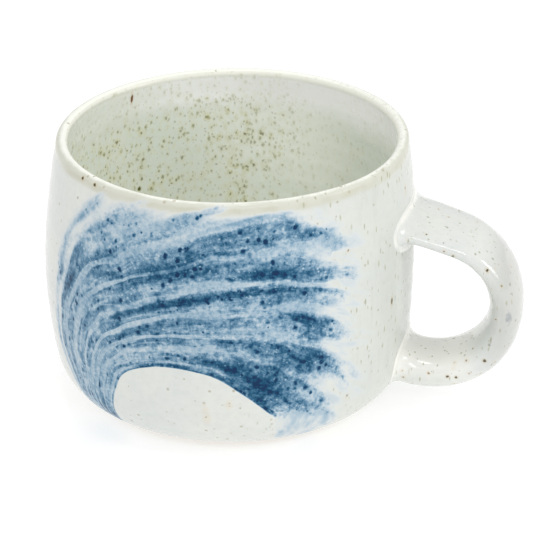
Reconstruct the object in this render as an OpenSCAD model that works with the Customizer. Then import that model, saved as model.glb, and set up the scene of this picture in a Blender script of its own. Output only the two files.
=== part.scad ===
// Stoneware mug: a thrown body, a pulled strap handle, a speckled lining and a brushed cobalt wash.
// Frame: origin at the centre of the foot on the table, +Z up, handle along +X, brushwork facing -Y.
// All sizes are in millimetres.

/* [Body] */
// Height from the table to the top of the lip
mug_height = 77; // [70:1:90]
// Greatest diameter over the glaze, at the belly
belly_d = 102.8; // [98:0.2:106]
// Height of the widest point of the belly
belly_z = 41; // [36:1:46]
// Radius of the long curve from the belly up to the lip
upper_curve_r = 215; // [160:5:400]
// Radius of the long curve from the belly down to the base
lower_curve_r = 165; // [130:5:300]
// Radius of the round corner between wall and base
base_corner_r = 15; // [11:0.5:18]
// Thickness of the lip over both glazes
lip_t = 3.3; // [2.6:0.1:4]
// Thickness of the clay wall at the belly
wall_t = 3.6; // [3:0.1:5]
// Height of the floor inside, under its glaze
floor_z = 6.4; // [5.4:0.1:9]
// Radius of the round corner between the inner wall and the floor
floor_corner_r = 14; // [10:0.5:18]

/* [Foot] */
// Outside diameter of the bare foot ring
foot_d = 67; // [56:1:68]
// Width of the foot ring
foot_w = 4.5; // [3:0.5:8]
// Height of the base above the table, outside the foot ring
foot_h = 1.4; // [1:0.1:1.8]
// Depth of the recess inside the foot ring
foot_recess = 2; // [1:0.1:2.5]
// Round on the two edges of the foot ring
foot_edge_r = 0.6; // [0.3:0.1:0.9]

/* [Glaze] */
// Thickness of every glaze coat
glaze_t = 0.4; // [0.3:0.05:0.6]
// Height at which the outer coat stops above the bare foot
glaze_stop_z = 2; // [1.9:0.1:4]
// Where the two coats meet on the lip: 90 is its top, 180 its inner side
glaze_meet_deg = 130; // [100:5:160]

/* [Handle] */
// Height of the strap's middle at its upper end, inside the wall
upper_root_z = 56; // [54:1:58]
// Slope of the strap below level at its upper end
upper_root_slope = 12; // [9:1:14]
// Radius of the long upper run
upper_run_r = 140; // [120:5:165]
// Turn of the upper run
upper_run_deg = 8; // [6:1:10]
// Radius of the bend
bend_r = 20; // [19:0.5:21]
// Turn of the bend
bend_deg = 122; // [118:1:126]
// Radius of the lower run
lower_run_r = 22.5; // [21:0.5:24]
// Turn of the lower run
lower_run_deg = 52; // [48:1:54]
// Width of the strap at its upper end
strap_w_top = 26; // [22:0.5:28]
// Width of the strap at its lower end
strap_w_bottom = 18.5; // [16:0.5:22]
// Thickness of the strap at its upper end
strap_t_top = 6; // [5:0.5:8]
// Thickness of the strap at its lower end
strap_t_bottom = 10.5; // [8:0.5:11]
// Squareness of the strap's section: 2 is an ellipse, and a higher value is squarer
strap_squareness = 2.7; // [2:0.1:3.5]

/* [Handle joints] */
// Thickness of the pad of soft clay between the strap and the wall
joint_pad_t = 0.6; // [0.4:0.1:1]
// Radius of the fillet round each root
joint_fillet_r = 2.6; // [1.5:0.1:3.5]

/* [Brushwork] */
// Bearing of the left end of the painted fan, from +X
brush_start_deg = -152; // [-170:1:-130]
// Bearing of the right end of the painted fan, from +X
brush_end_deg = -38; // [-60:1:-25]
// Height of the lower edge of the paint
brush_bottom_z = 6; // [4:1:12]
// Height of the upper edge of the paint
brush_top_z = 70; // [60:1:72]
// Radius of the bare round reserve in the lower edge
reserve_r = 24; // [15:1:26]
// Place of the reserve's centre along X
reserve_x = -3; // [-10:1:5]
// Height of the reserve's centre
reserve_z = 3; // [0:1:6]

/* [Hidden] */
// Facets round every turned form
$fn = 180;

clay_color = [0.72, 0.66, 0.56];
coat_color = [0.91, 0.92, 0.90];
liner_color = [0.78, 0.82, 0.74];
cobalt_color = [0.20, 0.36, 0.56];

// Steps in the long curves, the two corners and the lip, and points round the strap's section
curve_steps = 8;
corner_steps = 12;
lip_steps = 8;
section_points = 24;
// Steps along the three runs of the strap, and along a root's fillet
run_steps = [4, 14, 7];
fillet_steps = 5;
// How far the strap and its fillets are carried into the clay before they are cut back to the wall
root_depth = 5;
fillet_depth = 2;
// The thin end of a fillet, where it stops on the strap
fillet_edge = 0.15;

// Clay surfaces. A glazed surface is the same set of arcs, moved out by the glaze's thickness.
belly_r = belly_d / 2 - glaze_t;
inner_belly_r = belly_r - wall_t;
lip_r = lip_t / 2 - glaze_t;

// Outer surface: centres as [radius, height], and the slope where one arc passes into the next
upper_c = [belly_r - upper_curve_r, belly_z];
lower_c = [belly_r - lower_curve_r, belly_z];
lower_tilt = asin((belly_z - foot_h - base_corner_r) / (lower_curve_r - base_corner_r));
corner_c = lower_c + (lower_curve_r - base_corner_r) * [cos(lower_tilt), -sin(lower_tilt)];
lip_tilt = asin((mug_height - lip_t / 2 - belly_z) / (upper_curve_r - lip_r));
lip_c = upper_c + (upper_curve_r - lip_r) * [cos(lip_tilt), sin(lip_tilt)];
glaze_stop_deg = asin((glaze_stop_z - corner_c[1]) / base_corner_r);

// Inner surface: its upper arc touches the lip's round
lip_lean = inner_belly_r - lip_c[0];
lip_rise = lip_c[1] - belly_z;
inner_upper_r = (lip_lean * lip_lean + lip_rise * lip_rise - lip_r * lip_r) / (2 * (lip_r + lip_lean));
inner_upper_c = [inner_belly_r - inner_upper_r, belly_z];
inner_lip_tilt = asin(lip_rise / (inner_upper_r + lip_r));
inner_lower_r = lower_curve_r - wall_t;
inner_lower_c = [inner_belly_r - inner_lower_r, belly_z];
inner_tilt = asin((belly_z - floor_z - floor_corner_r) / (inner_lower_r - floor_corner_r));
floor_corner_c = inner_lower_c
    + (inner_lower_r - floor_corner_r) * [cos(inner_tilt), -sin(inner_tilt)];

// Strap: the start, then three arcs that turn downwards and back to the wall.
// A place is [out, up, heading].
strap_start = [belly_r - root_depth, upper_root_z, -upper_root_slope];
run_r = [upper_run_r, bend_r, lower_run_r];
run_deg = [upper_run_deg, bend_deg, lower_run_deg];
run_len = [for (i = [0:2]) run_r[i] * run_deg[i] * PI / 180];
bend_start = turned(strap_start, upper_run_r, upper_run_deg);
lower_start = turned(bend_start, bend_r, bend_deg);
strap_end = turned(lower_start, lower_run_r, lower_run_deg);
strap_len = run_len[0] + run_len[1] + run_len[2];
upper_wall_s = (wall_radius(upper_root_z) - strap_start[0]) / cos(upper_root_slope);
lower_wall_s = strap_len + (wall_radius(strap_end[1]) - strap_end[0]) / cos(strap_end[2]);

// Points on an arc from angle a to angle b; arc_on leaves out the first, where it follows another arc
function arc(c, r, a, b, steps) =
    [for (i = [0:steps]) c + r * [cos(a + (b - a) * i / steps), sin(a + (b - a) * i / steps)]];
function arc_on(c, r, a, b, steps) = [for (i = [1:steps]) arc(c, r, a, b, steps)[i]];
function reversed(points) = [for (i = [len(points) - 1:-1:0]) points[i]];

// Outer surface from an angle on the base corner up to the lip, moved out by grow
function outer_side(grow, first_deg) = concat(
    arc(corner_c, base_corner_r + grow, first_deg, -lower_tilt, corner_steps),
    arc_on(lower_c, lower_curve_r + grow, -lower_tilt, 0, curve_steps),
    arc_on(upper_c, upper_curve_r + grow, 0, lip_tilt, curve_steps));
// The lip's round, as far as the line where the coats meet, and on from there down to the floor
function lip_outside(grow) = arc_on(lip_c, lip_r + grow, lip_tilt, glaze_meet_deg, lip_steps);
function lip_inside(grow) =
    arc(lip_c, lip_r + grow, glaze_meet_deg, 180 + inner_lip_tilt, lip_steps);
function inner_side(grow) = concat(
    arc_on(inner_upper_c, inner_upper_r - grow, inner_lip_tilt, 0, curve_steps),
    arc_on(inner_lower_c, inner_lower_r - grow, 0, -inner_tilt, curve_steps),
    arc_on(floor_corner_c, floor_corner_r - grow, -inner_tilt, -90, corner_steps));
function coat_line(grow) = concat(outer_side(grow, glaze_stop_deg), lip_outside(grow));
function liner_line(grow) = concat(lip_inside(grow), inner_side(grow), [[0, floor_z + grow]]);

// Radius of the clay wall at a height
function wall_radius(z) =
    z > belly_z ? upper_c[0] + sqrt(pow(upper_curve_r, 2) - pow(z - belly_z, 2))
    : z > corner_c[1] - base_corner_r * sin(lower_tilt)
        ? lower_c[0] + sqrt(pow(lower_curve_r, 2) - pow(z - belly_z, 2))
        : corner_c[0] + sqrt(pow(base_corner_r, 2) - pow(z - corner_c[1], 2));

// The place reached from p by turning downwards on an arc, and by going straight on
function turned(p, r, deg) =
    [p[0] + r * (sin(p[2]) - sin(p[2] - deg)), p[1] + r * (cos(p[2] - deg) - cos(p[2])), p[2] - deg];
function ahead(p, d) = [p[0] + d * cos(p[2]), p[1] + d * sin(p[2]), p[2]];
function turn_deg(d, r) = d / r * 180 / PI;
// The strap's middle at a distance s along it
function strap_at(s) =
    s < run_len[0] ? turned(strap_start, run_r[0], turn_deg(s, run_r[0]))
    : s < run_len[0] + run_len[1] ? turned(bend_start, run_r[1], turn_deg(s - run_len[0], run_r[1]))
    : s < strap_len ? turned(lower_start, run_r[2], turn_deg(s - run_len[0] - run_len[1], run_r[2]))
    : ahead(strap_end, s - strap_len);
function taper(a, b, s) = a + (b - a) * min(1, s / strap_len);

// One coordinate of a superellipse
function rounded(x) = sign(x) * pow(abs(x), 2 / strap_squareness);
// Ring of points round the strap at s, moved out by grow.
// With wall_r > 0 it is set back to follow a wall of that radius.
function ring(s, grow, wall_r = 0) = [
    for (j = [0:section_points - 1])
        let (
            p = strap_at(s),
            half_w = taper(strap_w_top, strap_w_bottom, s) / 2 + grow,
            half_t = taper(strap_t_top, strap_t_bottom, s) / 2 + grow,
            up = rounded(cos(360 * j / section_points)) * half_t,
            side = rounded(sin(360 * j / section_points)) * half_w,
            back = wall_r > 0 ? wall_r - sqrt(wall_r * wall_r - side * side) : 0
        )
        [p[0] - up * sin(p[2]) - back, side, p[1] + up * cos(p[2])]
];
// How far a fillet stands off the strap at a distance d from the wall
function fillet(d) =
    let (rest = max(0, joint_fillet_r - d))
    d <= 0 ? joint_fillet_r
    : max(fillet_edge, joint_fillet_r - sqrt(joint_fillet_r * joint_fillet_r - rest * rest));
function mean(points) = [for (k = [0:2]) [for (p = points) p[k]] * [for (p = points) 1 / len(points)]];

// A solid skin over a row of rings, with a fan of triangles at each end
module skin(rings) {
    n = section_points;
    last = len(rings) - 1;
    corners = [for (r = rings) each r];
    sides = [
        for (k = [0:last - 1], j = [0:n - 1])
            let (a = k * n + j, b = k * n + (j + 1) % n)
            each [[a, b, a + n], [b, b + n, a + n]]
    ];
    start_cap = [for (j = [0:n - 1]) [len(corners), (j + 1) % n, j]];
    end_cap = [for (j = [0:n - 1]) [len(corners) + 1, last * n + j, last * n + (j + 1) % n]];
    polyhedron(
        points = concat(corners, [mean(rings[0]), mean(rings[last])]),
        faces = concat(sides, start_cap, end_cap)
    );
}

// The strap from end to end, uncut
module strap(grow) {
    starts = [0, run_len[0], run_len[0] + run_len[1]];
    places = concat(
        [0],
        [for (k = [0:2], i = [1:run_steps[k]]) starts[k] + run_len[k] * i / run_steps[k]],
        [strap_len + root_depth]
    );
    skin([for (s = places) ring(s, grow)]);
}

// The flare at a root: wall_s is where the strap meets the wall, and way is +1 or -1 along the strap
module root_flare(grow, wall_s, way, wall_r) {
    rings = concat(
        [ring(wall_s - way * fillet_depth, grow + joint_fillet_r, wall_r)],
        [
            for (i = [0:fillet_steps])
                let (d = joint_fillet_r * (1 - cos(90 * i / fillet_steps)))
                ring(wall_s + way * d, grow + fillet(d), wall_r)
        ]
    );
    skin(way > 0 ? rings : reversed(rings));
}
module upper_flare(grow) {
    root_flare(grow, upper_wall_s, 1, wall_radius(upper_root_z));
}
module lower_flare(grow) {
    root_flare(grow, lower_wall_s, -1, wall_radius(strap_end[1]));
}

// Everything inside the mug's outer surface, moved out by grow
module wall_form(grow) {
    rotate_extrude()
        polygon(concat([[0, foot_h - grow]], outer_side(grow, -90), [[0, lip_c[1]]]));
}

// The outer coat before the handle and the brushwork are let into it
module outer_coat() {
    rotate_extrude()
        polygon(concat(coat_line(glaze_t), reversed(coat_line(0))));
}

// The painted zone: a sector round the front, less the round reserve
module brush_zone() {
    zone_depth = 2 * base_corner_r;
    difference() {
        rotate_extrude(angle = brush_end_deg - brush_start_deg, start = brush_start_deg)
            translate([belly_d / 2 - zone_depth / 2, brush_bottom_z])
                square([zone_depth, brush_top_z - brush_bottom_z]);
        translate([reserve_x, 0, reserve_z])
            rotate([90, 0, 0])
                cylinder(r = reserve_r, h = belly_d);
    }
}

module body() {
    foot_out = foot_d / 2;
    foot_in = foot_out - foot_w;
    foot_mid = foot_out - foot_w / 2;
    wall = concat(
        [[0, foot_recess], [foot_mid, foot_recess], [foot_mid, foot_h]],
        outer_side(0, -90), lip_outside(0), liner_line(0)
    );
    foot = concat(
        [[foot_in, foot_recess + 1]],
        arc([foot_in + foot_edge_r, foot_edge_r], foot_edge_r, 180, 270, corner_steps / 2),
        arc([foot_out - foot_edge_r, foot_edge_r], foot_edge_r, 270, 360, corner_steps / 2),
        [[foot_out, foot_recess + 1]]
    );
    color(clay_color)
        rotate_extrude() {
            polygon(wall);
            polygon(foot);
        }
}

module handle() {
    color(clay_color)
        difference() {
            strap(0);
            wall_form(joint_pad_t);
        }
}

// A joint is the pad under the strap's end and the fillet round it
module upper_handle_joint() {
    color(clay_color)
        difference() {
            upper_flare(0);
            wall_form(0);
            difference() {
                strap(0);
                wall_form(joint_pad_t);
            }
        }
}

module lower_handle_joint() {
    color(clay_color)
        difference() {
            lower_flare(0);
            wall_form(0);
            difference() {
                strap(0);
                wall_form(joint_pad_t);
            }
        }
}

module outer_glaze() {
    color(coat_color)
        difference() {
            outer_coat();
            brush_zone();
            upper_flare(0);
            lower_flare(0);
        }
}

module brushwork() {
    color(cobalt_color)
        intersection() {
            outer_coat();
            brush_zone();
        }
}

module liner_glaze() {
    color(liner_color)
        rotate_extrude()
            polygon(concat(liner_line(glaze_t), reversed(liner_line(0))));
}

module handle_glaze() {
    color(coat_color)
        difference() {
            union() {
                strap(glaze_t);
                upper_flare(glaze_t);
                lower_flare(glaze_t);
            }
            strap(0);
            upper_flare(0);
            lower_flare(0);
            wall_form(glaze_t);
        }
}

body();
handle();
upper_handle_joint();
lower_handle_joint();
outer_glaze();
brushwork();
liner_glaze();
handle_glaze();
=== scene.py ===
"""Looks of a stoneware mug with a strap handle: white outside with cobalt brushwork, speckled inside.

Lengths are in millimetres in the CAD's frame, but for the floor, lights and camera, which are in metres.
"""
import math

import bpy
import numpy as np
from mathutils import Matrix, Vector


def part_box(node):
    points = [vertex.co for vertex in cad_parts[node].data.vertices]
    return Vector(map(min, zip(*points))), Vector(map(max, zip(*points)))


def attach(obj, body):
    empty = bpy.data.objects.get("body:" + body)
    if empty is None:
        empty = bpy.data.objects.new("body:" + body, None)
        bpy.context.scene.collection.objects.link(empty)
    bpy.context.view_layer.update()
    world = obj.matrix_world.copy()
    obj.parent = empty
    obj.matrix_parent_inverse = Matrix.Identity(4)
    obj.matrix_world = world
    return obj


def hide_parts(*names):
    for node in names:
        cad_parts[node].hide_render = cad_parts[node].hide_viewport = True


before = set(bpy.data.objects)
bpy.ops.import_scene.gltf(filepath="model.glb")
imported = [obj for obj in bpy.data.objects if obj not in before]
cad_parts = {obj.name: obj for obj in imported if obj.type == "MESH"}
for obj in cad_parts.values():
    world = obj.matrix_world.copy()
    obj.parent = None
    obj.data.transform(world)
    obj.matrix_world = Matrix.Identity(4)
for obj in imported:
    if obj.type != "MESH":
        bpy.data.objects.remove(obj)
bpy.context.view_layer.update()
MM = 0.001

# ------------------------ sizes of the turned form, as in the CAD model
COAT_LO, COAT_HI = (np.array(v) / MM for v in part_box("outer_glaze"))
BODY_LO = np.array(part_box("body")[0]) / MM
GLAZE = BODY_LO[0] - COAT_LO[0]
HEIGHT = COAT_HI[2]
BELLY_R = -BODY_LO[0]
BELLY_Z = 41.0
UPPER_R, LOWER_R, CORNER_R = 215.0, 165.0, 15.0
LIP_R = 3.3 / 2 - GLAZE
WALL = 3.6
FLOOR_Z, FLOOR_CORNER_R = 6.4, 14.0
FLOOR_MIDDLE_R = 0.5  # where the rows end, and a small fan closes the middle
FOOT_R, FOOT_W, FOOT_H, FOOT_RECESS, FOOT_EDGE, FOOT_FILLET = 33.5, 4.5, 1.4, 2.0, 0.6, 0.9
GLAZE_STOP_Z = 2.0
MEET = math.radians(130)  # bearing on the lip's circle where the outer coat meets the lining
COLUMNS = 420
TURN = 2 * math.pi

upper_c = (BELLY_R - UPPER_R, BELLY_Z)
lower_c = (BELLY_R - LOWER_R, BELLY_Z)
lower_reach = LOWER_R - CORNER_R
lower_tilt = math.asin((BELLY_Z - FOOT_H - CORNER_R) / lower_reach)
corner_c = (lower_c[0] + lower_reach * math.cos(lower_tilt), BELLY_Z - lower_reach * math.sin(lower_tilt))
lip_z = HEIGHT - GLAZE - LIP_R
lip_tilt = math.asin((lip_z - BELLY_Z) / (UPPER_R - LIP_R))
lip_c = (upper_c[0] + (UPPER_R - LIP_R) * math.cos(lip_tilt), lip_z)
inner_r = BELLY_R - WALL
lean, rise = inner_r - lip_c[0], lip_z - BELLY_Z
inner_upper_r = (lean ** 2 + rise ** 2 - LIP_R ** 2) / (2 * (LIP_R + lean))
inner_upper_c = (inner_r - inner_upper_r, BELLY_Z)
inner_lip_tilt = math.asin(rise / (inner_upper_r + LIP_R))
inner_lower_r = LOWER_R - WALL
inner_lower_c = (inner_r - inner_lower_r, BELLY_Z)
floor_reach = inner_lower_r - FLOOR_CORNER_R
inner_tilt = math.asin((BELLY_Z - FLOOR_Z - FLOOR_CORNER_R) / floor_reach)
floor_c = (inner_lower_c[0] + floor_reach * math.cos(inner_tilt), FLOOR_Z + FLOOR_CORNER_R)
coat_start = math.asin((GLAZE_STOP_Z - corner_c[1]) / CORNER_R)


class Profile:
    """Points along a line of arcs, each [radius, height], and the way out from each arc's centre."""

    def __init__(self, *points):
        self.points, self.ways = [np.array(p) for p in points], []

    def arc(self, centre, radius, start, end, steps):
        first = 1 if self.points else 0
        for i in range(first, steps + 1):
            a = start + (end - start) * i / steps
            way = np.array([math.cos(a), math.sin(a)])
            self.points.append(np.array(centre) + radius * way)
            self.ways.append(way)

    def line(self, end, steps):
        start = self.points[-1]
        for i in range(1, steps + 1):
            self.points.append(start + (np.array(end) - start) * i / steps)


def outside(profile, grow, start, steps):
    profile.arc(corner_c, CORNER_R + grow, start, -lower_tilt, steps[0])
    profile.arc(lower_c, LOWER_R + grow, -lower_tilt, 0, steps[1])
    profile.arc(upper_c, UPPER_R + grow, 0, lip_tilt, steps[2])
    profile.arc(lip_c, LIP_R + grow, lip_tilt, MEET, steps[3])


def inside(profile, grow, steps):
    profile.arc(lip_c, LIP_R + grow, MEET, math.pi + inner_lip_tilt, steps[0])
    profile.arc(inner_upper_c, inner_upper_r - grow, inner_lip_tilt, 0, steps[1])
    profile.arc(inner_lower_c, inner_lower_r - grow, 0, -inner_tilt, steps[2])
    profile.arc(floor_c, FLOOR_CORNER_R - grow, -inner_tilt, -math.pi / 2, steps[3])
    profile.line((FLOOR_MIDDLE_R, FLOOR_Z + grow), steps[4])


def wall_radius(z):
    """Radius of the glazed outside at height z."""
    z = np.asarray(z, float)
    high = upper_c[0] + np.sqrt((UPPER_R + GLAZE) ** 2 - (z - BELLY_Z) ** 2)
    low = lower_c[0] + np.sqrt((LOWER_R + GLAZE) ** 2 - (z - BELLY_Z) ** 2)
    round_ = corner_c[0] + np.sqrt(np.maximum(0, (CORNER_R + GLAZE) ** 2 - (z - corner_c[1]) ** 2))
    joins = corner_c[1] - (CORNER_R + GLAZE) * math.sin(lower_tilt)
    return np.where(z > BELLY_Z, high, np.where(z > joins, low, round_))


def smooth(a, b, x):
    t = np.clip((x - a) / (b - a), 0, 1)
    return t * t * (3 - 2 * t)


def round_axis(p):
    """Distance from the mug's axis, and bearing round it."""
    return np.hypot(p[..., 0], p[..., 1]), np.arctan2(p[..., 1], p[..., 0])


def by_hand(p):
    """The small unevenness of hand work, the same for every piece: p is (..., 3)."""
    x, y, z = p[..., 0], p[..., 1], p[..., 2]
    r, bearing = round_axis(p)
    up = smooth(2, 20, z)
    near_wall = smooth(30, 44, r)
    oval = 0.38 * smooth(25, 77, z) * np.cos(2 * (bearing - math.radians(54)))
    lumps = 0.09 * np.sin(3 * bearing + 0.11 * z + 1.0) + 0.07 * np.sin(5 * bearing - 0.16 * z + 4.0)
    rings = 0.035 * np.sin(TURN * z / 6.5 + bearing) + 0.02 * np.sin(TURN * z / 3.1 + bearing + 2.0)
    scale = 1 + near_wall * up * (oval + lumps + rings) / np.maximum(r, 1)
    lean_by = (0.3 - 0.0462 * z + 0.00065 * z * z) * up
    lean_way = math.radians(9)
    wave = 0.12 * np.sin(bearing + 0.6) + 0.09 * np.sin(2 * bearing + 2.2) + 0.05 * np.sin(5 * bearing)
    return np.stack([
        x * scale + lean_by * math.cos(lean_way),
        y * scale + lean_by * math.sin(lean_way),
        z + smooth(62, 77, z) * near_wall * wave,
    ], -1)


# ------------------------ meshes from grids
def turn(points):
    """Rows of [radius, height] turned into a grid (rows, COLUMNS, 3)."""
    a = np.arange(COLUMNS) * TURN / COLUMNS
    r, z = np.array(points).T[..., None]
    return np.stack([r * np.cos(a), r * np.sin(a), z + 0 * a], -1)


def unit(v):
    return v / np.maximum(np.linalg.norm(v, axis=-1, keepdims=True), 1e-12)


def grid_normals(grid):
    """Normals of a grid that closes round its columns, on the left of the rows' direction."""
    return unit(np.cross(np.roll(grid, -1, 1) - np.roll(grid, 1, 1), np.gradient(grid, axis=0)))


def ring_faces(index, loop):
    """Faces with four sides between the rows of a grid of point numbers."""
    after = np.roll(index, -1, 1)
    if loop:
        corners = (index, after, np.roll(after, -1, 0), np.roll(index, -1, 0))
    else:
        corners = (index[:-1], after[:-1], after[1:], index[1:])
    return np.stack(corners, -1).reshape(-1, 4).tolist()


def cap(ring, ids, middle_id, way):
    """The fan that closes one end: its middle point, normal and faces."""
    middle = ring.mean(0)
    normal = np.cross(ring[len(ring) // 4] - middle, ring[0] - middle) * way
    fan = np.stack([np.roll(ids, -1), ids, np.full(len(ids), middle_id)], -1)
    return middle, normal / max(np.linalg.norm(normal), 1e-9), fan[:, ::way].tolist()


def set_attribute(mesh, key, values, count):
    """A number or vector for each point. The points in the middle of fans take the last one."""
    values = np.asarray(values, np.float32)
    values = np.concatenate([values, np.repeat(values[-1:], count - len(values), 0)])
    if values.ndim == 1:
        mesh.attributes.new(key, "FLOAT", "POINT").data.foreach_set("value", values)
    else:
        mesh.attributes.new(key, "FLOAT_VECTOR", "POINT").data.foreach_set("vector", values.ravel())


def build(name, grids, normals, loop=False, attributes=None):
    """One closed piece from grids of rows: loop joins the last row to the first, or fans close the ends."""
    grid, normal = np.concatenate(grids), np.concatenate(normals)
    rows, columns = grid.shape[:2]
    index = np.arange(rows * columns).reshape(rows, columns)
    faces = ring_faces(index, loop)
    points, n = grid.reshape(-1, 3), normal.reshape(-1, 3)
    for end, way in () if loop else ((0, 1), (-1, -1)):
        middle, facing, fan = cap(grid[end], index[end], len(points), way)
        points, n = np.vstack([points, middle]), np.vstack([n, facing])
        faces += fan
    mesh = bpy.data.meshes.new(name)
    mesh.from_pydata((points * MM).tolist(), [], faces)
    mesh.update()
    for key, values in (attributes or {}).items():
        set_attribute(mesh, key, values, len(points))
    mesh.polygons.foreach_set("use_smooth", np.ones(len(mesh.polygons), bool))
    mesh.normals_split_custom_set_from_vertices(n.tolist())
    obj = bpy.data.objects.new(name, mesh)
    bpy.context.scene.collection.objects.link(obj)
    return obj


def finish_piece(obj, material, slot, *nodes):
    obj.data.materials.append(material)
    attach(obj, "root")
    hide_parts(*nodes)


# ------------------------ brushwork: directions of the strokes on the wall
# Guide strokes on the unrolled wall: x is millimetres along it from the front line, z is the height.
# The first one is the edge of the bare reserve, and the others are nested over it, with ranks from 0 to 1.
FRONT = math.radians(-80.7)  # bearing of the front line, the brushwork's middle
UNROLL_R = 51.0
GUIDES = (
    (0.0, ((-37, 6), (-36.5, 12), (-34, 19), (-29, 25.5), (-21, 28.7), (-12, 29),
        (-5, 27.5), (2, 23), (8, 18), (14, 12.5), (20, 8.5), (27, 4))),
    (0.1, ((-39, 7), (-38.5, 14), (-36, 22), (-30, 28), (-22, 31), (-12, 32.8),
        (-4, 32.3), (3, 30), (10, 25.5), (17, 20), (24, 15), (31, 9))),
    (0.22, ((-41, 7), (-40.5, 16), (-37.5, 26), (-31, 32.5), (-23, 36), (-13, 38),
        (-3, 39), (6, 38), (14, 35), (22, 30.5), (30, 25), (36, 20))),
    (0.35, ((-43, 7), (-42.5, 17), (-39.5, 27), (-32, 34.5), (-23, 40), (-13, 43),
        (-3, 44.5), (7, 44.5), (16, 42.8), (24, 40), (32, 36.5), (38, 33))),
    (0.5, ((-45, 7), (-45, 19), (-42.5, 31), (-35, 39.5), (-25, 45), (-14, 49),
        (-3, 51.3), (8, 52), (17, 51.5), (25, 50), (32, 48), (38, 45.5))),
    (0.6, ((-47, 7), (-48, 20), (-46, 33.5), (-39, 43.5), (-28, 50), (-16, 54.2),
        (-4, 57), (8, 57.7), (17, 57.3), (25, 56), (31, 54.5), (37, 52))),
    (0.72, ((-48.5, 7), (-51, 20), (-49.5, 35), (-42.5, 47), (-31, 54), (-18, 60),
        (-6, 65), (6, 67.3), (16, 67.5), (24, 66.5), (31, 64.5), (37, 62))),
    (0.8, ((-50, 8), (-54, 21), (-53, 37), (-46, 50), (-34, 59), (-21, 65.5),
        (-8, 70.5), (5, 74), (15, 75), (24, 75), (32, 73.5), (38, 71.5))),
    (0.9, ((-51.5, 8), (-57.5, 22), (-57, 39), (-51, 54), (-41, 65), (-29, 73),
        (-15, 79), (0, 83), (12, 85), (24, 85.5), (32, 84.5), (38, 83))),
    (1.0, ((-53, 8), (-61.5, 23), (-61, 41), (-55.5, 58), (-46, 71), (-34, 81),
        (-20, 89), (-5, 94), (10, 97), (24, 98), (34, 97), (42, 95))),
)
STEP_ALONG, BAND = 8.0, 55.0  # the flow from one point of a guide to the next, and across from rank 0 to 1
# Loaded and dry places of the brush, with one painted highlight among the dry ones: x, z, half length, half
# width, strength
LOADED = (
    (-50, 47, 3.5, 1.3, 0.4), (-34, 53, 1.6, 0.8, 0.5), (-19, 57, 7, 2.6, 0.55), (-17, 48, 8, 1.2, 0.5),
    (-1, 51.5, 7, 0.9, 0.45), (11, 57.5, 6, 1.4, 0.6), (17, 52, 8, 0.9, 0.5), (21, 67, 5, 0.7, 0.42),
    (24, 41.5, 6, 1.8, 0.6), (0, 47, 5, 0.8, 0.4), (23, 33, 4, 3.5, 0.45), (7, 24.5, 8, 2.4, 0.6),
    (30, 17, 4, 1.6, 0.45), (-19, 29.8, 8, 0.8, 0.6), (-4, 31.5, 5, 0.9, 0.7), (-41, 8.0, 3.0, 14, 0.55),
    (28, 55.5, 6, 0.9, 0.4), (-29, 37, 8, 1.2, 0.45), (-40, 54, 7, 1.4, 0.35), (10, 71, 8, 2.5, 0.08),
    (-45, 65, 5, 1.2, 0.3), (0, 37.5, 4, 1.8, 0.35), (14, 28, 9, 4.0, 0.32), (-57, 30, 7, 1.0, 0.08),
    (-47, 33, 1.8, 0.8, 0.45), (-47, 25, 1.8, 0.8, 0.45), (-18, 43, 1.2, 0.7, 0.4), (-11, 42, 1.2, 0.7, 0.4),
    (-6, 60, 8, 5.0, 0.24), (-24, 70, 6, 1.0, 0.12), (-15, 71, 5, 0.8, 0.12),
)
DRY = (
    # the dry place at x -12, z 36 is a painted highlight, a short pale glint on the paint
    (-22, 62.5, 14, 0.9, 0.22), (-21, 51.5, 9, 1.0, 0.3), (-14, 44.5, 9, 1.0, 0.3), (-12, 36, 4.5, 0.9, 0.6),
    (5, 54.8, 8, 0.8, 0.35), (14, 48, 8, 1.3, 0.28), (12, 41, 6, 2.4, 0.4), (-45, 55, 10, 0.7, 0.15),
    (-53, 45, 12, 0.8, 0.15), (25, 62, 6, 2.5, 0.35), (30, 38, 6, 1.0, 0.3), (22, 19, 5, 1.2, 0.3),
    (-33, 27, 4, 1.2, 0.3), (-5, 71.5, 5, 1.0, 0.7), (-30, 66, 12, 1.0, 0.2), (-10, 55.5, 8, 0.7, 0.2),
    (-49, 30, 12, 0.6, 0.1), (4, 34, 6, 1.0, 0.2), (22, 47, 7, 2.0, 0.2), (-31, 72.5, 8, 3.0, 0.3),
    (-14, 73, 8, 2.5, 0.4), (-42, 14, 14, 22, 0.25),
)
SPOT_SCALE = 1.15  # how much wider these places are made
PAINT_RIGHT, PAINT_TOP, PAINT_BOTTOM = 32.0, 75.5, 5.0
NEAR_LEFT, NEAR_RIGHT = -78, 58  # where the strokes are worked out, with room to spare
FAR, NOT_PAINTED, WELL_INSIDE = 200.0, -30.0, 60.0  # what the attributes say beyond that, or at most


def spread_plate(places, values):
    """A smooth plate that passes near the values at some places, as a function of places (n, 2)."""
    def bend(d2):
        return 0.5 * d2 * np.log(np.maximum(d2, 1e-12))

    n = len(places)
    d2 = ((places[:, None] - places[None]) ** 2).sum(-1)
    flat = np.hstack([np.ones((n, 1)), places])
    system = np.block([[bend(d2) + 0.5 * np.eye(n), flat], [flat.T, np.zeros((3, 3))]])
    weights = np.linalg.solve(system, np.vstack([values, np.zeros((3, values.shape[1]))]))

    def at(q):
        out = np.hstack([np.ones((len(q), 1)), q]) @ weights[n:]
        for k in range(n):
            out += bend(((q - places[k]) ** 2).sum(1))[:, None] * weights[k]
        return out

    return at


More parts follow.
